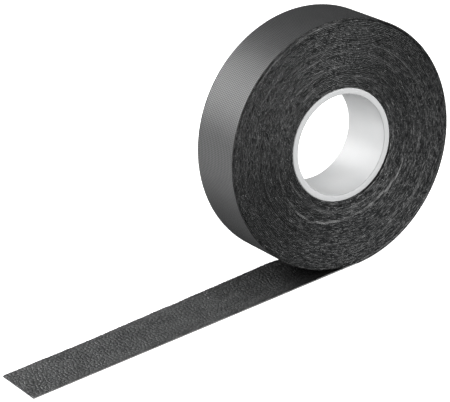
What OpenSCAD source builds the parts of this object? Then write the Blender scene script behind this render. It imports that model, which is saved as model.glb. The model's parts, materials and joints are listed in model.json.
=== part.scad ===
// A roll of racket grip tape on a plastic core, with its loose end drawn off
// along the surface it stands on. The roll's axis is Y and the origin is the
// centre of the core's bore. Seen from the front (-Y) the tape winds outward
// clockwise, from its start low on the right of the core to the tangent point
// at 6 o'clock, where the tail leaves towards -X.

/* [Roll] */
// Overall height of the full roll
roll_d = 104; // [80:1:140]
// Width of the tape and of its core
tape_w = 25; // [15:1:50]

/* [Core] */
// Outside diameter of the core tube
core_d = 46.6; // [30:0.2:60]
// Wall thickness of the core tube
core_wall = 2.5; // [1.5:0.1:4]
// Chamfer on the four rims of the core tube
core_chamfer = 0.4; // [0.2:0.1:0.6]

/* [Tape] */
// Thickness of the soft grip layer, which is the tape's inner face
grip_t = 0.58; // [0.4:0.02:1]
// Thickness of the embossed cover film, which is the tape's outer face
film_t = 0.08; // [0.04:0.01:0.2]
// Smallest air gap between one turn and the next
layer_gap = 0.02; // [0.01:0.01:0.06]
// Where the tape starts on the core, as an angle below 3 o'clock
start_angle = 17; // [0:1:80]

/* [Start strip] */
// Thickness of the adhesive strip that holds the first turn on the core
strip_t = 0.12; // [0.05:0.01:0.3]
// How far the strip reaches round the core
strip_angle = 78; // [30:1:170]

/* [Tail] */
// Length of the tail from the tangent point to its cut end
tail_l = 150.7; // [60:0.1:300]
// Slit between one stretch of the tail and the next, where it bends
bend_slit = 0.1; // [0.05:0.05:0.3]

/* [Fit] */
// Smallest radial clearance between the wound roll and its outermost turn
turn_clearance = 0.05; // [0.02:0.01:0.1]

/* [Hidden] */
$fn = 180;

// The tail is one strip, and these stretches of it bend one after another.
tail_stretches = 5;
stretch_l = tail_l / tail_stretches;

tape_t = grip_t + film_t;
core_r = core_d / 2;
bore_r = core_r - core_wall;
start_r = core_r + strip_t;

// The outermost turn is two half rings. The left one is centred on the roll's axis.
// The right one is half a pitch larger in radius and centred half a pitch lower.
// So the whole turns share this span with half a pitch. The pitch fills it evenly, in
// steps of 0.002 mm that keep each radius a short number, so that half turns meet.
turns_span = roll_d / 2 - start_r - 2 * tape_t - turn_clearance;
whole_turns = floor(turns_span / (tape_t + layer_gap) - 0.5);
pitch = 0.002 * floor(turns_span / (whole_turns + 0.5) / 0.002 + 0.001);

right_r = roll_d / 2;
left_r = right_r - pitch / 2;

floor_z = -right_r - pitch / 2;
tail_top_z = floor_z + tape_t;

// Lays a shape drawn around Z into the roll's place: Z becomes the roll's axis Y,
// X stays X, and an angle measured from X becomes one going clockwise from 3
// o'clock, as the front sees it.
module about_roll_axis() {
    rotate([-90, 0, 0]) children();
}

// Part of a ring of rectangular section, from angle `from` on over `sweep` degrees
module arc(inner_r, thickness, from, sweep, centre = [0, 0]) {
    translate(centre)
    rotate(from)
    rotate_extrude(angle = sweep)
    translate([inner_r, -tape_w / 2])
    square([thickness, tape_w]);
}

// One ply of the wound tape as a spiral of half turns. Every other one is centred on
// the axis and the rest half a pitch towards the start, each half a pitch larger in
// radius than the half turn before it, so that all of them join smoothly. A last
// part turn ends it at 6 o'clock.
module wound_ply(offset_r, thickness) {
    first_r = start_r + offset_r;
    about_roll_axis() rotate(start_angle) {
        for (turn = [0 : whole_turns - 1]) {
            arc(first_r + turn * pitch, thickness, 0, 180);
            arc(first_r + (turn + 0.5) * pitch, thickness, 180, 180, [pitch / 2, 0]);
        }
        arc(first_r + whole_turns * pitch, thickness, 0, 90 - start_angle);
    }
}

// One ply of the outermost turn, from the tangent point up the right-hand side,
// over the top and down the left to end on the tail
module outer_ply(outer_offset, thickness) {
    inset = outer_offset + thickness;
    about_roll_axis() {
        arc(right_r - inset, thickness, -90, 180, [0, pitch / 2]);
        arc(left_r - inset, thickness, 90, 180);
    }
}

// One ply of a stretch of the tail. Stretch 1 starts at the tangent point.
module tail_ply(stretch, bottom_offset, thickness) {
    slit_before = stretch == 1 ? 0 : bend_slit / 2;
    slit_after = stretch == tail_stretches ? 0 : bend_slit / 2;
    far_x = -stretch * stretch_l + slit_after;
    near_x = -(stretch - 1) * stretch_l - slit_before;
    translate([far_x, -tape_w / 2, floor_z + bottom_offset])
    cube([near_x - far_x, tape_w, thickness]);
}

module tail_grip_layer(stretch) {
    color("dimgray") tail_ply(stretch, film_t, grip_t);
}

module tail_cover_film(stretch) {
    color("gray") tail_ply(stretch, 0, film_t);
}

// The white plastic tube that the tape is wound on, with chamfered rims
module core_tube() {
    half_w = tape_w / 2;
    inset = half_w - core_chamfer;
    color("whitesmoke")
    about_roll_axis()
    rotate_extrude()
    polygon([
        [bore_r, -inset], [bore_r + core_chamfer, -half_w],
        [core_r - core_chamfer, -half_w], [core_r, -inset],
        [core_r, inset], [core_r - core_chamfer, half_w],
        [bore_r + core_chamfer, half_w], [bore_r, inset]
    ]);
}

// The thin adhesive strip between the core and the start of the tape
module start_strip() {
    color("lightgray") about_roll_axis() arc(core_r, strip_t, start_angle, strip_angle);
}

module wound_grip_layer() {
    color("dimgray") wound_ply(0, grip_t);
}

module wound_cover_film() {
    color("gray") wound_ply(grip_t, film_t);
}

module outer_turn_grip_layer() {
    color("dimgray") outer_ply(film_t, grip_t);
}

module outer_turn_cover_film() {
    color("gray") outer_ply(0, film_t);
}

module tail_1_grip_layer() { tail_grip_layer(1); }
module tail_2_grip_layer() { tail_grip_layer(2); }
module tail_3_grip_layer() { tail_grip_layer(3); }
module tail_4_grip_layer() { tail_grip_layer(4); }
module tail_5_grip_layer() { tail_grip_layer(5); }

module tail_1_cover_film() { tail_cover_film(1); }
module tail_2_cover_film() { tail_cover_film(2); }
module tail_3_cover_film() { tail_cover_film(3); }
module tail_4_cover_film() { tail_cover_film(4); }
module tail_5_cover_film() { tail_cover_film(5); }

core_tube();
start_strip();
wound_grip_layer();
wound_cover_film();
outer_turn_grip_layer();
outer_turn_cover_film();
tail_1_grip_layer();
tail_1_cover_film();
tail_2_grip_layer();
tail_2_cover_film();
tail_3_grip_layer();
tail_3_cover_film();
tail_4_grip_layer();
tail_4_cover_film();
tail_5_grip_layer();
tail_5_cover_film();
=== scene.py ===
"""Looks of a roll of racket grip tape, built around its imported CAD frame.

Everything is in metres in the row frame: the roll's axis is Y, the front faces -Y, and the
tail lies on the floor towards -X. The tape is a strip of two plies. Its grip layer has a
leather-like grain on the inner face, which shows on top of the tail, and its cover film has
a fine embossed diamond weave on the outer face, which shows round the roll.
"""
import json
import math

import bmesh
import bpy
import numpy as np
from mathutils import Matrix, Vector


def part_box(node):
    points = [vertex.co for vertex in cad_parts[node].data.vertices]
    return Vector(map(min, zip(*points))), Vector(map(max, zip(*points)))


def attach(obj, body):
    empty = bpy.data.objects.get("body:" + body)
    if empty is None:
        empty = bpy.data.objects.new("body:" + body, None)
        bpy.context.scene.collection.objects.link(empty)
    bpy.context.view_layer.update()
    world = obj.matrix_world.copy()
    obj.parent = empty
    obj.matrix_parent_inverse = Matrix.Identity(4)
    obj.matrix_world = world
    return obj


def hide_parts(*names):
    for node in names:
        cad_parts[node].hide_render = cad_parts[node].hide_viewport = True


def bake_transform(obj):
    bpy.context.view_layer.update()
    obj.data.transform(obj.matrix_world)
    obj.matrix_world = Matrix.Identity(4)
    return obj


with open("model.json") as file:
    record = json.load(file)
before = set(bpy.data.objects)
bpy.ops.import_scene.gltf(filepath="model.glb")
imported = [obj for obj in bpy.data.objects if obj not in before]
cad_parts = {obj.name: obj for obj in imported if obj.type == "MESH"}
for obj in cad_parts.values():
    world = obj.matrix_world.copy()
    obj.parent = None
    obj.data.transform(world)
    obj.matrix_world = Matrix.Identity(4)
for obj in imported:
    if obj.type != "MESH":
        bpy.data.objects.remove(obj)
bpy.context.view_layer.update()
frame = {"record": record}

MM = 0.001
TURN = 2 * math.pi

# ---------------------------------------------------------------- sizes, from the frame


def low(node):
    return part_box(node)[0]


def high(node):
    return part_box(node)[1]


MOUNTS = {mount["name"]: mount for mount in frame["record"]["mounts"]}
HALF_W = high("core_tube").y
CORE_R = high("core_tube").z
BORE_R = MOUNTS["core_bore"]["dims"]["r_mm"] * MM
FILM_T = high("tail_1_cover_film").z - low("tail_1_cover_film").z
GRIP_T = high("tail_1_grip_layer").z - low("tail_1_grip_layer").z
TAPE_T = FILM_T + GRIP_T
FLOOR_Z = low("outer_turn_cover_film").z
ROLL_TOP_Z = high("outer_turn_cover_film").z
RIGHT_R = (ROLL_TOP_Z - FLOOR_Z) / 2
HALF_PITCH = -(ROLL_TOP_Z + FLOOR_Z) / 2
PITCH = 2 * HALF_PITCH
LEFT_R = RIGHT_R - HALF_PITCH
WOUND_R = -low("wound_cover_film").z
RUN_R = LEFT_R - TAPE_T
WHOLE_TURNS = int((WOUND_R - TAPE_T - CORE_R) / PITCH)
START_R = WOUND_R - TAPE_T - WHOLE_TURNS * PITCH
TAIL_L = -low("tail_5_cover_film").x
STRETCHES = 5
STRETCH_L = TAIL_L / STRETCHES
# Where the tape starts on the core, below 3 o'clock, and how far its start strip reaches
START_ANGLE = math.radians(17)
STRIP_SWEEP = math.radians(78)

# ---------------------------------------------------------------- camera


def add_camera():
    """The viewing angle of the reference view: from the front left, looking down."""
    azimuth, elevation, roll = (math.radians(a) for a in (-29.314, 23.760, -8.667))
    distance, aside, above = 18.164 * RIGHT_R, -0.761 * RIGHT_R, -0.490 * RIGHT_R
    back = Vector(
        (
            math.sin(azimuth) * math.cos(elevation),
            -math.cos(azimuth) * math.cos(elevation),
            math.sin(elevation),
        )
    )
    level_right = (-back).cross(Vector((0, 0, 1))).normalized()
    level_up = level_right.cross(-back)
    right = level_right * math.cos(roll) + level_up * math.sin(roll)
    up = level_up * math.cos(roll) - level_right * math.sin(roll)
    camera = bpy.data.objects.new("camera", bpy.data.cameras.new("camera"))
    camera.data.sensor_fit = "HORIZONTAL"
    camera.data.sensor_width = 36
    camera.data.lens = 188.95
    spot = right * aside + up * above + back * distance
    camera.matrix_world = Matrix(
        [(right[i], up[i], back[i], spot[i]) for i in range(3)] + [(0, 0, 0, 1)]
    )
    bpy.context.scene.collection.objects.link(camera)
    bpy.context.scene.camera = camera


add_camera()

# ---------------------------------------------------------------- noise for shapes


CELLS = 256  # after so many cells every noise repeats


def smooth_noise(x, y, seed, wrap=CELLS):
    """Value noise from -1 to 1 with cells one unit wide, repeating in y every wrap cells."""
    table = np.random.default_rng(seed).uniform(-1, 1, (CELLS, wrap))
    x, y = np.broadcast_arrays(np.asarray(x, float), np.asarray(y, float))
    xi, yi = np.floor(x).astype(int), np.floor(y).astype(int)
    fx, fy = x - xi, y - yi
    fx, fy = fx * fx * (3 - 2 * fx), fy * fy * (3 - 2 * fy)
    x0, x1, y0, y1 = xi % CELLS, (xi + 1) % CELLS, yi % wrap, (yi + 1) % wrap
    near = table[x0, y0] * (1 - fy) + table[x0, y1] * fy
    far = table[x1, y0] * (1 - fy) + table[x1, y1] * fy
    return near * (1 - fx) + far * fx


def cell_borders(x, y, seed):
    """How far each point is from the border of its cell in a random cell pattern, 0 there."""
    jitter = np.random.default_rng(seed).uniform(0.08, 0.92, (CELLS, CELLS, 2))
    xi, yi = np.floor(x).astype(int), np.floor(y).astype(int)
    first = np.full(x.shape, np.inf)
    second = np.full(x.shape, np.inf)
    for dx in (-1, 0, 1):
        for dy in (-1, 0, 1):
            spot = jitter[(xi + dx) % CELLS, (yi + dy) % CELLS]
            far = np.hypot(xi + dx + spot[..., 0] - x, yi + dy + spot[..., 1] - y)
            second = np.minimum(second, np.maximum(first, far))
            first = np.minimum(first, far)
    return second - first


def ramp(x, start, end):
    """Rises smoothly from 0 to 1 as x goes from start to end."""
    t = np.clip((x - start) / (end - start), 0, 1)
    return t * t * (3 - 2 * t)


# ---------------------------------------------------------------- mesh building


def mesh_object(name, points, faces, corners_uv, materials, face_materials=None):
    """A smooth-shaded mesh piece with its UV map in metres along and across the tape."""
    mesh = bpy.data.meshes.new(name)
    mesh.from_pydata(points, [], faces)
    layer = mesh.uv_layers.new(name="metres")
    layer.data.foreach_set("uv", np.asarray(corners_uv, np.float32).ravel())
    for material in materials:
        mesh.materials.append(material)
    if face_materials is not None:
        mesh.polygons.foreach_set("material_index", np.asarray(face_materials, np.int32))
    mesh.update()
    mesh.shade_smooth()
    mesh.set_sharp_from_angle(angle=math.radians(50))
    piece = bpy.data.objects.new(name, mesh)
    bpy.context.scene.collection.objects.link(piece)
    return piece


def loft(name, rings, along, around, materials, column_materials=None, closed=False):
    """A closed strip through rings of points, with its ends capped unless it joins itself.

    rings has shape (stations, points round each, 3). along holds each station's distance
    and around each ring point's, with one more for the way back to the first point.
    """
    stations, count = rings.shape[:2]
    i, j = np.meshgrid(np.arange(stations - 1), np.arange(count), indexing="ij")
    after = (j + 1) % count
    quads = np.stack(
        [i * count + j, (i + 1) * count + j, (i + 1) * count + after, i * count + after], -1
    ).reshape(-1, 4)
    uv = np.stack(
        [
            np.stack([along[i], around[j]], -1),
            np.stack([along[i + 1], around[j]], -1),
            np.stack([along[i + 1], around[j + 1]], -1),
            np.stack([along[i], around[j + 1]], -1),
        ],
        -2,
    ).reshape(-1, 2)
    points = rings.reshape(-1, 3)
    a, b, c, d = (points[quads[:, k]] for k in range(4))
    volume = np.einsum("ij,ij->i", a, np.cross(b, c) + np.cross(c, d)).sum()
    faces = quads.tolist()
    last = (stations - 1) * count
    caps = [] if closed else [list(range(count))[::-1], list(range(last, last + count))]
    cap_uv = [
        (along[row], around[k % count])
        for row, cap in zip((0, stations - 1), caps)
        for k in cap
    ]
    faces += caps
    uv = np.concatenate([uv, np.array(cap_uv).reshape(-1, 2)])
    materials_of_faces = None
    if column_materials is not None:
        columns = np.tile(column_materials, stations - 1)
        materials_of_faces = np.concatenate([columns, np.full(len(caps), column_materials[0])])
    piece = mesh_object(name, points, faces, uv, materials, materials_of_faces)
    if volume < 0:
        piece.data.flip_normals()
    return piece


def add_values(piece, name, values):
    """Gives a piece's points values that its material reads, one per station or point."""
    layer = piece.data.attributes.new(name, "FLOAT", "POINT")
    each = len(piece.data.vertices) // values.size
    layer.data.foreach_set("value", np.repeat(values.ravel(), each).astype(np.float32))


def perimeter(ys, hs, height):
    """Distances round a section whose points are ys across and hs, as shares of height, up."""
    y, h = np.append(ys, ys[0]), np.append(hs, hs[0]) * height
    return np.concatenate([[0], np.cumsum(np.hypot(np.diff(y), np.diff(h)))])


def strip_rings(path, thickness, ys, hs, out_y=0, out_h=0):
    """Rings of a strip's section along a path of (points, directions to the inner face).

    out_y and out_h move the section's points across the tape and towards its inner face.
    """
    points, inward = path
    height = hs[None, :] * np.asarray(thickness).reshape(-1, 1) + out_h
    x = points[:, :1] + inward[:, :1] * height
    z = points[:, 1:] + inward[:, 1:] * height
    return np.stack([x, np.broadcast_to(ys[None, :] + out_y, x.shape), z], -1)


def edge_section(count):
    """A section with count points up each slit edge: across, up, side (-1 is the front)."""
    up = np.linspace(0, 1, count)
    ys = np.concatenate([np.full(count, -HALF_W), np.full(count, HALF_W)])
    return ys, np.concatenate([up, up[::-1]]), np.sign(ys)


# ---------------------------------------------------------------- paths of the tape


def tail_path(u):
    """The tail's grip layer from the tangent point on, u along the floor: its underside."""
    points = np.stack([-u, np.full_like(u, FLOOR_Z + FILM_T)], -1)
    return points, np.tile([0.0, 1.0], (len(u), 1))


def ring_path(angle, inset):
    """The outermost turn, angle anticlockwise from 6 o'clock, inset from its outer face."""
    on_right = angle <= math.pi
    radius = np.where(on_right, RIGHT_R, LEFT_R) - inset
    drop = np.where(on_right, HALF_PITCH, 0.0)
    points = np.stack([radius * np.sin(angle), -drop - radius * np.cos(angle)], -1)
    return points, np.stack([-np.sin(angle), np.cos(angle)], -1)


def polar_path(angle, radius):
    """Points at an angle clockwise from 3 o'clock, and the directions to the axis."""
    points = np.stack([radius * np.cos(angle), -radius * np.sin(angle)], -1)
    return points, np.stack([-np.cos(angle), np.sin(angle)], -1)


def wound_turns(theta):
    """Turns of thickness under the tape after winding by theta from its start.

    The first turn hugs the core and steps up over its own start. Turn by turn the step
    spreads out until the tape is an even spiral.
    """
    whole = np.floor(theta / TURN)
    stepped = whole + ramp(theta - whole * TURN, TURN - math.radians(24), TURN)
    even = np.clip(whole / 9, 0, 1)
    return stepped * (1 - even) + theta / TURN * even


# ---------------------------------------------------------------- materials


class Nodes:
    """A material's node tree, with a short way to add linked nodes."""

    def __init__(self, name):
        self.material = bpy.data.materials.new(name)
        self.material.use_nodes = True
        self.tree = self.material.node_tree
        self.tree.nodes.clear()
        self.shader = self.add("ShaderNodeBsdfPrincipled")
        output = self.add("ShaderNodeOutputMaterial")
        self.link(self.shader.outputs[0], output.inputs[0])

    def add(self, kind, settings=None, **inputs):
        node = self.tree.nodes.new(kind)
        for key, value in (settings or {}).items():
            setattr(node, key, value)
        for key, value in inputs.items():
            self.put(node.inputs[key.replace("_", " ")], value)
        return node

    def put(self, socket, value):
        if isinstance(value, bpy.types.NodeSocket):
            self.link(value, socket)
        else:
            socket.default_value = value

    def link(self, source, target):
        self.tree.links.new(source, target)

    def set(self, **inputs):
        for key, value in inputs.items():
            self.put(self.shader.inputs[key.replace("_", " ")], value)

    def tape_place(self, along, across):
        """Coordinates in cells, the given sizes in metres along and across the tape."""
        uv = self.add("ShaderNodeUVMap", {"uv_map": "metres"})
        mapping = self.add("ShaderNodeMapping", Vector=uv.outputs[0])
        mapping.inputs["Scale"].default_value = (1 / along, 1 / across, 1)
        return mapping.outputs[0]

    def noise(self, place, detail=2.0, roughness=0.5):
        node = self.add(
            "ShaderNodeTexNoise", Vector=place, Scale=1.0, Detail=detail, Roughness=roughness
        )
        return node.outputs["Fac"]

    def remap(self, value, from_low, from_high, to_low, to_high):
        node = self.add("ShaderNodeMapRange", Value=value)
        for key, number in zip(
            ("From Min", "From Max", "To Min", "To Max"), (from_low, from_high, to_low, to_high)
        ):
            node.inputs[key].default_value = number
        return node.outputs[0]

    def mix(self, share, first, second):
        node = self.add("ShaderNodeMix", {"data_type": "RGBA"})
        self.put(node.inputs["Factor"], share)
        for socket, value in zip(node.inputs[6:8], (first, second)):
            self.put(socket, value if not isinstance(value, tuple) else (*value, 1))
        return node.outputs[2]

    def values(self, name):
        """The mesh's values of that name, which add_values gave it."""
        return self.add("ShaderNodeAttribute", {"attribute_name": name}).outputs["Fac"]

    def wear_and_painted_light(self, colour, pale, dark):
        """The colour, paler where the mesh's values are above 0 and darker where below. Darker is
        painted shade; paler is a painted highlight on the wound turns' steps and a pale slit edge
        at the tape's start and on the tail.
        """
        painted_light_and_pale_edges = self.values("painted_light_and_pale_edges")
        paled_and_shaded = self.mix(self.remap(painted_light_and_pale_edges, 0.15, 1, 0, 1), colour, pale)
        return self.mix(self.remap(painted_light_and_pale_edges, -0.15, -1, 0, 1), paled_and_shaded, dark)

    def bump(self, height, distance, strength=1.0, normal=None):
        node = self.add("ShaderNodeBump", Height=height, Distance=distance, Strength=strength)
        if normal is not None:
            self.link(normal, node.inputs["Normal"])
        return node.outputs[0]


def grip_face_material():
    """The inner face: soft matt polyurethane with a fine leather-like grain."""
    n = Nodes("grip_face")
    fine = n.noise(n.tape_place(0.35 * MM, 0.35 * MM), detail=3)
    cells = n.add(
        "ShaderNodeTexVoronoi",
        {"feature": "DISTANCE_TO_EDGE"},
        Vector=n.tape_place(0.9 * MM, 0.8 * MM),
        Scale=1.0,
    ).outputs["Distance"]
    patches = n.noise(n.tape_place(9 * MM, 6 * MM), detail=3)
    dark, pale = (0.074, 0.076, 0.076), (0.104, 0.106, 0.106)
    clouded = n.mix(n.remap(patches, 0.3, 0.7, 0, 1), dark, pale)
    # Painted shadow: the colour is near black next to the roll and rises to the clouded colour
    # from 20 to 64 mm out, in place of the roll's shadow on the tail.
    along = n.add("ShaderNodeSeparateXYZ", Vector=n.tape_place(1, 1)).outputs[0]
    painted_roll_shadow = n.mix(n.remap(along, 20 * MM, 64 * MM, 0, 1), (0.007, 0.007, 0.007), clouded)
    # Painted shade: the colour darkens towards black in the low creases of the grain.
    n.set(
        Base_Color=n.mix(n.remap(n.values("height"), 0.2, 0.8, 0.55, 0), painted_roll_shadow, (0, 0, 0)),
        Roughness=n.remap(fine, 0.3, 0.7, 0.38, 0.52),
        Specular_IOR_Level=0.5,
        Normal=n.bump(
            fine, 0.05 * MM, 0.6, n.bump(n.remap(cells, 0, 0.25, 0, 1), 0.05 * MM, 0.7)
        ),
    )
    return n.material


def grip_edge_material():
    """Slit edges of the grip layer: torn foam and fibres with paler specks."""
    n = Nodes("grip_edge")
    fibres = n.noise(n.tape_place(0.45 * MM, 0.3 * MM), detail=2, roughness=0.6)
    crumbs = n.noise(n.tape_place(0.6 * MM, 0.3 * MM), detail=2)
    stains = n.noise(n.tape_place(5 * MM, 3 * MM), detail=2)
    ground = n.mix(n.remap(stains, 0.35, 0.65, 0, 1), (0.012, 0.013, 0.013), (0.030, 0.031, 0.031))
    specks = n.remap(fibres, 0.58, 0.72, 0, 1)
    colour = n.mix(specks, ground, (0.30, 0.30, 0.30))
    # Paler and darker by the mesh's values: painted highlight, painted shade and pale edges.
    n.set(
        Base_Color=n.wear_and_painted_light(colour, (0.26, 0.26, 0.26), (0.008, 0.008, 0.008)),
        Roughness=n.remap(crumbs, 0.3, 0.7, 0.30, 0.5),
        Specular_IOR_Level=0.5,
        Normal=n.bump(crumbs, 0.15 * MM, 1.0),
    )
    return n.material


def cover_film_material():
    """The outer face: satin film with a fine embossed diamond weave."""
    n = Nodes("cover_film")
    fine = n.noise(n.tape_place(0.25 * MM, 0.25 * MM), detail=2)
    cloud = n.noise(n.tape_place(14 * MM, 9 * MM), detail=3)
    painted_ridge_sheen = n.mix(cloud, (0.095, 0.096, 0.097), (0.125, 0.126, 0.127))
    # Painted shade and sheen: by the height that the mesh gives, the colour is dark in the weave's
    # valleys and paler on its ridges.
    n.set(
        Base_Color=n.mix(n.values("height"), (0.022, 0.023, 0.024), painted_ridge_sheen),
        Roughness=n.remap(n.values("height"), 0.1, 0.9, 0.7, 0.34),
        Specular_IOR_Level=0.55,
        Normal=n.bump(fine, 0.02 * MM, 0.3),
    )
    return n.material


def film_edge_material():
    """Slit edge of the cover film, a shade paler than the grip layer."""
    n = Nodes("film_edge")
    frays = n.noise(n.tape_place(4.5 * MM, 0.5 * MM), detail=4, roughness=0.65)
    colour = n.mix(
        n.remap(frays, 0.5, 0.64, 0, 1), (0.012, 0.013, 0.014), (0.20, 0.20, 0.20)
    )
    # Paler and darker by the mesh's values: painted shade and pale edges.
    n.set(
        Base_Color=n.wear_and_painted_light(colour, (0.42, 0.42, 0.42), (0.008, 0.008, 0.008)),
        Roughness=n.remap(frays, 0.3, 0.7, 0.4, 0.6),
    )
    return n.material


def core_material(name, shade):
    """White moulded plastic, glossy and slightly translucent."""
    n = Nodes(name)
    cloud = n.noise(n.tape_place(16 * MM, 10 * MM), detail=2)
    fine = n.noise(n.tape_place(2 * MM, 0.6 * MM), detail=2)
    dark = (shade, shade + 0.01, shade + 0.015)
    pale = (shade + 0.06,) * 3
    n.set(
        Base_Color=n.mix(cloud, dark, pale),
        Roughness=n.remap(cloud, 0.3, 0.7, 0.32, 0.42),
        Specular_IOR_Level=0.33,
        Subsurface_Weight=0.15,
        Subsurface_Radius=(2 * MM, 2 * MM, 2 * MM),
        Normal=n.bump(fine, 0.01 * MM, 0.15),
    )
    return n.material


def strip_material():
    """Pale double-sided adhesive strip."""
    n = Nodes("start_strip")
    cloud = n.noise(n.tape_place(3 * MM, 2 * MM), detail=2)
    n.set(
        Base_Color=n.mix(cloud, (0.42, 0.42, 0.41), (0.55, 0.55, 0.54)),
        Roughness=n.remap(cloud, 0.3, 0.7, 0.35, 0.5),
    )
    return n.material


GRIP_FACE = grip_face_material()
GRIP_EDGE = grip_edge_material()
COVER_FILM = cover_film_material()
FILM_EDGE = film_edge_material()
CORE_PLASTIC = core_material("core_plastic", 0.61)
# Painted shade: the rims take a darker copy of the same plastic.
CORE_RIM = core_material("core_rim", 0.43)
START_STRIP = strip_material()

# ---------------------------------------------------------------- the core


def make_core():
    """The core tube as a lathed profile with rounded rims."""
    fillet = 0.45 * MM
    steps = 6
    profile = []
    for radius, y, turn in (
        (BORE_R + fillet, -HALF_W + fillet, 180),
        (CORE_R - fillet, -HALF_W + fillet, 270),
        (CORE_R - fillet, HALF_W - fillet, 0),
        (BORE_R + fillet, HALF_W - fillet, 90),
    ):
        for step in range(steps):
            a = math.radians(turn + 90 * step / (steps - 1))
            profile.append((radius + fillet * math.cos(a), y + fillet * math.sin(a)))
    profile = np.array(profile)
    angles = np.linspace(0, TURN, 241)
    rings = np.stack(
        [
            np.outer(np.cos(angles), profile[:, 0]),
            np.broadcast_to(profile[:, 1], (len(angles), len(profile))),
            np.outer(np.sin(angles), profile[:, 0]),
        ],
        -1,
    )
    looped = np.vstack([profile, profile[:1]])
    around = np.concatenate([[0], np.cumsum(np.hypot(*np.diff(looped, axis=0).T))])
    # The cut rims and their rounded corners take a darker copy of the plastic than the two walls,
    # as painted shade. Each wall is the one long column after the corners of a rim.
    columns = np.ones(len(profile), int)
    columns[[2 * steps - 1, 4 * steps - 1]] = 0
    piece = loft(
        "core", rings, angles * CORE_R, around, [CORE_PLASTIC, CORE_RIM], columns, closed=True
    )
    weld(piece)
    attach(piece, "wound_roll")
    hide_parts("core_tube")


def weld(piece):
    """Joins a lathed piece's last ring to its first."""
    mesh = bmesh.new()
    mesh.from_mesh(piece.data)
    bmesh.ops.remove_doubles(mesh, verts=mesh.verts, dist=1e-6)
    mesh.to_mesh(piece.data)
    mesh.free()


def make_start_strip():
    """The adhesive strip under the tape's start, a little narrower than the tape."""
    angles = START_ANGLE + np.linspace(0, STRIP_SWEEP, 80)
    ys, hs, side = edge_section(2)
    thickness = START_R - CORE_R
    recess = 0.9 * MM
    path = polar_path(angles, np.full(len(angles), START_R))
    rings = strip_rings(path, thickness, ys, hs, -recess * side)
    piece = loft(
        "adhesive_strip", rings, angles * CORE_R, perimeter(ys, hs, thickness), [START_STRIP]
    )
    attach(piece, "wound_roll")
    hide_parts("start_strip")


# ---------------------------------------------------------------- wound turns


# Low on the side face one larger shift leaves the turns outside this line proud. The line
# is at these radii in mm at these angles in degrees clockwise from 3 o'clock.
SHIFT_RADII = (32.4, 31.7, 30.7, 31.0, 32.6, 31.5, 32.0)
SHIFT_ANGLES = (24, 45, 60, 100, 126, 154, 200)


def group_shift(radius, angle):
    """How far turns stand proud of the side face where whole groups of them shifted."""
    angle = angle % TURN
    groups = np.tanh(5 * smooth_noise(radius / (2.6 * MM), angle / TURN * 4, 12, 4))
    pairs = np.tanh(5 * smooth_noise(radius / (1.5 * MM), angle / TURN * 7, 14, 7))
    beyond = radius / MM - np.interp(np.degrees(angle), SHIFT_ANGLES, SHIFT_RADII)
    low_down = ramp(angle, 0.25, 0.6) * (1 - ramp(angle, 2.4, 2.9))
    step = low_down * ramp(beyond, -0.3, 0.3) * np.exp(-np.clip(beyond, 0, None) / 4)
    return (0.12 * groups + 0.10 * pairs + 0.5 * step) * MM


def step_light_and_shade(radius, angle):
    """Painted light where groups of turns shifted: a painted highlight, up to 1, on an edge proud
    of its inner neighbour, and painted shade, down to -1, where that neighbour stands proud.
    """
    step = group_shift(radius, angle) - group_shift(radius - PITCH, angle)
    broken = 0.8 + 0.4 * smooth_noise(radius / (0.5 * MM), angle / TURN * 60, 17, 60)
    amount = np.clip(broken * step / (0.22 * MM), -1, 1.6)
    return np.where(amount > 0, 0.38 * amount, amount)


def wander(s):
    """How far the tape's edge wandered sideways at distances s while it was wound."""
    return 0.05 * MM * (smooth_noise(s / (8 * MM), 0, 11) + smooth_noise(s / (23 * MM), 0, 13))


def lean(s):
    """How far the inner side of a slit edge stands proud of its outer side."""
    long = smooth_noise(s / (11 * MM), 0, 15)
    short = smooth_noise(s / (0.55 * MM), 0, 16)
    return (0.20 + 0.16 * long + 0.40 * short) * MM


def leaning(s, hs):
    """The lean of a slit edge with its corners rounded off, for its points hs up it."""
    rounded = 0.30 * MM * (np.abs(hs - 0.5) > 0.45)
    return lean(s)[:, None] * (hs - 0.5)[None, :] - rounded


# A grip layer's slit edge has this many points up it. The rows of noise that shape the
# back edge lie apart from those of the front edge, so that the two differ.
EDGE_ROWS = 4
BACK_ROW = 40
NOISE_ROWS = np.concatenate([np.arange(EDGE_ROWS), np.arange(EDGE_ROWS) + BACK_ROW])


def crumbly(s, rows, seed):
    """Roughness of a slit edge at distances s for each row of points up the edge."""
    s, rows = s[:, None], rows[None, :]
    coarse = smooth_noise(s / (1.6 * MM), rows * 1.3 + 3, seed)
    fine = smooth_noise(s / (0.8 * MM), rows * 1.7 + 9, seed + 1)
    crumbs = np.clip(smooth_noise(s / (0.9 * MM), rows * 1.1, seed + 2) - 0.4, 0, None)
    return (0.05 * coarse + 0.10 * fine + 0.30 * crumbs) * MM


def pale_start(theta):
    """How pale the outer side of the gap at the tape's start is, after winding by theta."""
    return 0.9 * (theta >= 0) * (1 - ramp(theta, 0.5 * STRIP_SWEEP, STRIP_SWEEP))


def winding(theta_end, spacing):
    """Angles from the tape's start on, evenly spaced along the tape, and the distances."""
    length = START_R * theta_end + PITCH * theta_end**2 / (2 * TURN)
    s = np.linspace(0, length, int(length / spacing))
    theta = (np.sqrt(START_R**2 + 2 * PITCH * s / TURN) - START_R) * TURN / PITCH
    return theta, s


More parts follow.
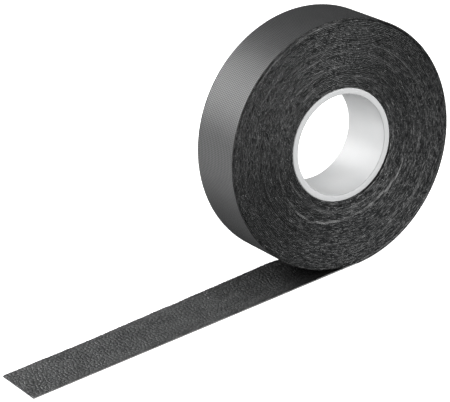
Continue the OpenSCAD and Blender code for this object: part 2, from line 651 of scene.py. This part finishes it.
def make_wound_turns():
    """The wound tape as one long spiral strip of two plies, with crumbly slit edges.

    It ends at 6 o'clock at the turning body's outer radius. From there it runs on for a
    turn while it thins out against that radius, so that the turning body is round.
    """
    theta_full = WHOLE_TURNS * TURN + TURN / 4 - START_ANGLE
    spread = (WOUND_R - TAPE_T - START_R) / (theta_full / TURN)
    thinning_sweep = 0.93 * TURN
    spacing = 0.40 * MM
    theta, s = winding(theta_full + thinning_sweep, spacing)
    angle = START_ANGLE + theta
    inner = START_R + spread * wound_turns(theta)
    film_inner = np.minimum(inner + GRIP_T, WOUND_R - FILM_T)

    ys, hs, side = edge_section(EDGE_ROWS)
    shift = wander(s) + group_shift(film_inner, angle)
    paled_and_shaded = step_light_and_shade(film_inner, angle)[:, None]
    wear_and_painted_light = shift[:, None] + crumbly(s, NOISE_ROWS, 21) + leaning(s, hs)
    at_start = (1 - ramp(theta, 0, STRIP_SWEEP))[:, None]
    gap_depth = 2.6 * MM
    out_y = side * (wear_and_painted_light - gap_depth * at_start)
    rings = strip_rings(polar_path(angle, film_inner), film_inner - inner, ys, hs, out_y)
    grip = loft("wound_grip", rings, s, perimeter(ys, hs, GRIP_T), [GRIP_EDGE])
    # Painted light on the grip's slit edges: highlight and shade at the shifted steps, and paler
    # on the inner half of the turn over the tape's start.
    over_start = pale_start(theta - TURN)[:, None]
    add_values(grip, "painted_light_and_pale_edges", np.where(hs > 0.5, np.maximum(paled_and_shaded, over_start), paled_and_shaded))
    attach(grip, "wound_roll")
    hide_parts("wound_grip_layer")

    ys, hs, side = edge_section(2)
    film_rows = np.array([0, 0.3, BACK_ROW, BACK_ROW + 0.3])
    wear_and_painted_light = shift[:, None] + 1.2 * crumbly(s, film_rows, 31) + 0.5 * lean(s)[:, None]
    recess = 0.02 * MM
    groove = 0.15 * MM * hs
    raised_start = 0.12 * MM * at_start
    out_y = side * (wear_and_painted_light - recess - groove + raised_start)
    # It reaches the next turn, so that no light shows through between them.
    lap = 0.01 * MM
    next_inner = START_R + spread * wound_turns(theta + TURN) + lap
    film_outer = np.minimum(np.maximum(film_inner + FILM_T, next_inner), WOUND_R)
    rings = strip_rings(polar_path(angle, film_outer), film_outer - film_inner, ys, hs, out_y)
    film = loft("wound_film", rings, s, perimeter(ys, hs, FILM_T), [FILM_EDGE])
    # Painted light on the film's slit edges: highlight and shade at the shifted steps; at the
    # tape's start paler on the outer side and painted shade down in the gap.
    gap = pale_start(theta)[:, None]
    add_values(film, "painted_light_and_pale_edges", np.where(hs == 0, np.maximum(paled_and_shaded, gap), paled_and_shaded - 2 * gap))
    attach(film, "wound_roll")
    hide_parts("wound_cover_film")


# ---------------------------------------------------------------- outermost turn


def weave(u, y):
    """Height of the diamond weave pressed into the cover film, from 0 to 1."""
    period = 1.2 * MM
    along, across = 0.82 * u, 0.57 * y
    first = np.cos(TURN * (along + across) / period)
    second = np.cos(TURN * (along - across) / period)
    return ramp(first * second, -0.5, 0.5)


def make_outer_turn_grip():
    """The outermost turn's grip layer, with crumbly slit edges."""
    angle = np.linspace(0, TURN, 1100)
    s = angle * LEFT_R
    ys, hs, side = edge_section(EDGE_ROWS)
    out_y = side * (crumbly(s, NOISE_ROWS, 41) + leaning(s, hs))
    rings = strip_rings(ring_path(angle, FILM_T), GRIP_T, ys, hs, out_y)
    grip = loft("outer_turn_grip", rings, s, perimeter(ys, hs, GRIP_T), [GRIP_EDGE])
    # Painted shade: its slit edges are darkened all along, as the shade between turns darkens the
    # edges inside.
    add_values(grip, "painted_light_and_pale_edges", np.full(len(angle), -0.5))
    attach(grip, "outer_turn")
    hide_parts("outer_turn_grip_layer")


def film_section(count):
    """A film's section with count points across each face: across, up, edge columns."""
    across = np.linspace(-HALF_W, HALF_W, count)
    ys = np.concatenate([across, across[::-1]])
    hs = np.concatenate([np.zeros(count), np.ones(count)])
    columns = np.zeros(2 * count, int)
    columns[[count - 1, 2 * count - 1]] = 1
    return ys, hs, columns


def make_outer_turn_film():
    """The outermost turn's cover film, with the weave in relief on its outer face."""
    angle = np.linspace(0, TURN, 1450)
    s = angle * LEFT_R
    count = 113
    ys, hs, columns = film_section(count)
    across = ys[:count]
    plain_edge = 0.4 * MM
    fade = np.clip((HALF_W - np.abs(across)) / plain_edge, 0, 1)
    height = np.zeros((len(angle), len(ys)))
    height[:, :count] = weave(s[:, None], across[None, :]) * fade
    relief = 0.06 * MM
    rings = strip_rings(ring_path(angle, 0), FILM_T, ys, hs, 0, relief * height)
    film = loft(
        "outer_turn_film", rings, s, perimeter(ys, hs, FILM_T), [COVER_FILM, FILM_EDGE], columns
    )
    add_values(film, "height", height)
    # Painted shade: the film's slit edges are darkened all along.
    add_values(film, "painted_light_and_pale_edges", np.full(len(angle), -0.9))
    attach(film, "outer_turn")
    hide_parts("outer_turn_cover_film")


def make_outer_turn_wedge():
    """The crescent of tape between the outermost turn's right half, which is half a pitch
    larger, and the round space that the wound turns run in."""
    angle = np.linspace(0.002, math.pi * 0.97, 420)
    s = angle * LEFT_R
    clearance = 0.03 * MM
    path, inward = ring_path(angle, TAPE_T + clearance)
    depth = np.clip(np.hypot(*path.T) - RUN_R, 0.01 * MM, GRIP_T)
    ys, hs, side = edge_section(EDGE_ROWS)
    recess = 0.04 * MM
    out_y = side * (crumbly(s, NOISE_ROWS, 51) - recess)
    rings = strip_rings((path, inward), depth, ys, hs, out_y)
    wedge = loft("outer_turn_wedge", rings, s, perimeter(ys, hs, GRIP_T), [GRIP_EDGE])
    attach(wedge, "outer_turn")


# ---------------------------------------------------------------- tail


def grain(u, y):
    """Height of the grip face's grain: plump cells between creases, and broader dimples."""
    bend_u = u / MM + 0.5 * smooth_noise(u / (1.7 * MM), y / (1.7 * MM), 61)
    bend_y = y / MM + 0.5 * smooth_noise(u / (1.7 * MM), y / (1.7 * MM), 62)
    plump = ramp(cell_borders(bend_u / 1.5, bend_y / 1.9, 63), 0, 0.45)
    small = ramp(cell_borders(bend_u / 0.7, bend_y / 0.8, 64), 0, 0.4)
    broad = smooth_noise(u / (3.5 * MM), y / (3 * MM), 65)
    return (0.16 * plump + 0.07 * small + 0.08 * broad - 0.19) * MM


def lift(u, ys):
    """How far the tail stands off the floor: its back edge does, most of all near the roll."""
    most, full, gone = 1.5 * MM, 28 * MM, 112 * MM
    rise = ramp(u, 6 * MM, full) * np.clip((gone - u) / (gone - full), 0, 1)
    back = 0.5 + 0.5 * ys / HALF_W
    return most * rise[:, None] * back[None, :]


def tail_grip_section(count):
    """The tail's grip section, with count points across its top and few elsewhere: across,
    up, edge columns."""
    across = np.linspace(-HALF_W, HALF_W, count)
    below = across[:: -(count // 3)]
    side_up = np.array([1 / 3, 2 / 3])
    ys = np.concatenate([across, [HALF_W] * 2, below, [-HALF_W] * 2])
    hs = np.concatenate([np.ones(count), side_up[::-1], np.zeros(len(below)), side_up])
    columns = np.zeros(len(ys), int)
    columns[count - 1 : count + 2] = columns[-3:] = 1
    return ys, hs, columns


def make_tail_grip(index, u):
    """A stretch of the tail's grip layer, with its grain in relief and rough slit edges."""
    count = 121
    ys, hs, columns = tail_grip_section(count)
    relief = np.zeros((len(u), len(ys)))
    relief[:, :count] = grain(u[:, None], ys[None, :count])
    recess = 0.02 * MM
    edge = np.abs(ys) > 0.999 * HALF_W
    rough = 0.35 * crumbly(u, np.arange(len(ys), dtype=float), 71) - recess
    out_y = np.where(edge, np.sign(ys) * rough, 0)
    rings = strip_rings(tail_path(u), GRIP_T, ys, hs, out_y, relief + lift(u, ys))
    grip = loft(
        f"tail_grip_{index}",
        rings,
        u,
        perimeter(ys, hs, GRIP_T),
        [GRIP_FACE, GRIP_EDGE],
        columns,
    )
    add_values(grip, "height", relief / (0.3 * MM) + 0.8)
    # The lower part of each slit edge is paler.
    add_values(grip, "painted_light_and_pale_edges", np.tile(edge & (hs < 0.5), (len(u), 1)).astype(float))
    return grip


def make_tail_film(index, u):
    """A stretch of the tail's cover film, which lies under its grip layer."""
    ys, hs, columns = film_section(57)
    path, inward = tail_path(u)
    rings = strip_rings((path - [0, FILM_T], inward), FILM_T, ys, hs, 0, lift(u, ys))
    film = loft(
        f"tail_film_{index}", rings, u, perimeter(ys, hs, FILM_T), [COVER_FILM, FILM_EDGE], columns
    )
    # The film's slit edges are paler.
    add_values(film, "painted_light_and_pale_edges", np.full(len(u), 0.6))
    return film


def make_tail_piece(index, start, end, place, node_number):
    """One stretch of the tail in two plies, from start to end along the floor.

    place puts a piece on its body or bakes its place into its mesh. node_number is the CAD stretch
    whose place both plies take, if any.
    """
    ring_gap = 0.21 * MM
    u = np.linspace(start, end, int((end - start) / ring_gap) + 1)
    grip = make_tail_grip(index, u)
    place(grip)
    film = make_tail_film(index, u)
    place(film)
    if node_number is not None:
        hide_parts(f"tail_{node_number}_grip_layer")
        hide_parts(f"tail_{node_number}_cover_film")


def make_tail():
    """The tail, cut at the middle of each CAD stretch."""
    bodies = ["outer_turn"] + [f"tail_{i}" for i in range(2, STRETCHES + 1)]
    middles = [STRETCH_L * (i + 0.5) for i in range(STRETCHES)]
    make_tail_piece(0, 0, middles[0], lambda piece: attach(piece, bodies[0]), 1)
    for i in range(STRETCHES - 1):

        def across_hinge(piece, i=i):
            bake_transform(piece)

        make_tail_piece(i + 1, middles[i], middles[i + 1], across_hinge, i + 2)
    make_tail_piece(STRETCHES, middles[-1], TAIL_L, lambda piece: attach(piece, bodies[-1]), None)


# ---------------------------------------------------------------- studio


LAMP_DISTANCE = 1.0
LAMP_SIZE = 0.45


def add_lamp(name, azimuth, elevation, power):
    """A soft square lamp facing the roll. Azimuth 0 is the front, -90 the left."""
    data = bpy.data.lights.new(name, "AREA")
    data.shape = "SQUARE"
    data.size = LAMP_SIZE
    data.energy = power
    lamp = bpy.data.objects.new(name, data)
    a, e = math.radians(azimuth), math.radians(elevation)
    spot = LAMP_DISTANCE * Vector(
        (math.sin(a) * math.cos(e), -math.cos(a) * math.cos(e), math.sin(e))
    )
    lamp.location = spot
    lamp.rotation_euler = spot.to_track_quat("Z", "Y").to_euler()
    bpy.context.scene.collection.objects.link(lamp)


def plain_white(name, diffuse, glow):
    """A matt white of the given diffuse reflectance that glows by itself."""
    n = Nodes(name)
    n.set(
        Base_Color=(diffuse, diffuse, diffuse, 1),
        Roughness=0.9,
        Specular_IOR_Level=0.0,
        Emission_Color=(1, 1, 1, 1),
        Emission_Strength=glow,
    )
    return n.material


def add_backdrop(name, mesh, material):
    """Something round the roll that only the camera sees, so that it lights nothing."""
    mesh.materials.append(material)
    backdrop = bpy.data.objects.new(name, mesh)
    bpy.context.scene.collection.objects.link(backdrop)
    backdrop.visible_diffuse = False
    backdrop.visible_glossy = False
    backdrop.visible_shadow = False
    return backdrop


def add_studio():
    """A pale floor in a white surround, a faint glow from all sides and soft lamps."""
    size = 6.0
    z = FLOOR_Z - 0.15 * MM
    mesh = bpy.data.meshes.new("floor")
    corners = [(-size, -size, z), (size, -size, z), (size, size, z), (-size, size, z)]
    mesh.from_pydata(corners, [], [(0, 1, 2, 3)])
    add_backdrop("floor", mesh, plain_white("floor_white", 0.8, 0.97))

    sphere = bmesh.new()
    bmesh.ops.create_uvsphere(sphere, u_segments=48, v_segments=24, radius=size)
    mesh = bpy.data.meshes.new("surround")
    sphere.to_mesh(mesh)
    sphere.free()
    surround = add_backdrop("surround", mesh, plain_white("surround_white", 0.0, 1.0))
    surround.visible_transmission = False

    world = bpy.data.worlds.new("studio")
    bpy.context.scene.world = world
    world.use_nodes = True
    background = world.node_tree.nodes["Background"]
    background.inputs["Color"].default_value = (1, 1, 1, 1)
    background.inputs["Strength"].default_value = 0.02

    for name, azimuth, elevation, power in (
        ("front", 0, 0, 2.9),
        ("front_raised", 0, 30, 2.6),
        ("front_right", 30, 0, 3.8),
        ("front_right_raised", 40, 28, 4.2),
        ("front_left", -30, 10, 3.2),
        ("low_left", -80, -15, 2.4),
        ("low_back_left", -130, -15, 2.2),
        ("back_left", -140, 20, 4.0),
        ("back", -165, 20, 4.6),
        ("high_back_left", -150, 45, 2.0),
    ):
        add_lamp(name, azimuth, elevation, power)
    bpy.context.scene.view_settings.view_transform = "Standard"


make_core()
make_start_strip()
make_wound_turns()
make_outer_turn_grip()
make_outer_turn_film()
make_outer_turn_wedge()
make_tail()
add_studio()
